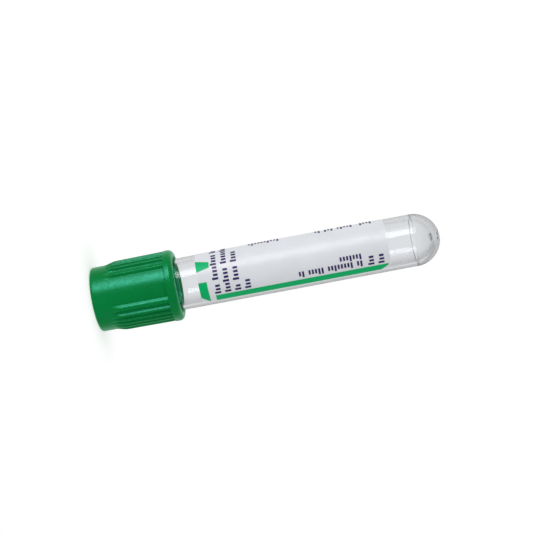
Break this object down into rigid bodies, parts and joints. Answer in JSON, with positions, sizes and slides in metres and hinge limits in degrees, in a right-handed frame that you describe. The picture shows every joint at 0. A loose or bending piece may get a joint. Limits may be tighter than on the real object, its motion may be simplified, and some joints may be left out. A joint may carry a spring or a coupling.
{
  "type": "blood collection tube",
  "caption": "Clear round-ended sample tube with a ribbed pull-off closure round a rubber stopper, and a white wrap label with a green stripe.",
  "frame": {"origin": "middle of the closure's flat top, which is on the ground", "axes": "+Z along the tube from the closure to the round end, because the tube stands on its closure; -Y the side that faces the camera in the picture; +X towards the label's striped edge"},
  "size_m": [0.0178, 0.0178, 0.0868],
  "materials": {
    "clear_plastic": "clear, polished",
    "stopper_rubber": "matt moulded",
    "green_plastic": "satin moulded",
    "label_film": "satin film",
    "green_ink": "printed",
    "navy_ink": "printed"
  },
  "bodies": {
    "closure_body": {"closure_shield": "green_plastic", "stopper": "stopper_rubber"},
    "tube_body": {"tube": "clear_plastic", "label": "label_film", "label_green_print": "green_ink", "label_navy_print": "navy_ink"}
  },
  "joints": [
    {"name": "tube_pull", "type": "slide", "parent": "closure_body", "child": "tube_body", "axis": [0, 0, 1], "range_m": [0, 0.04]}
  ]
}
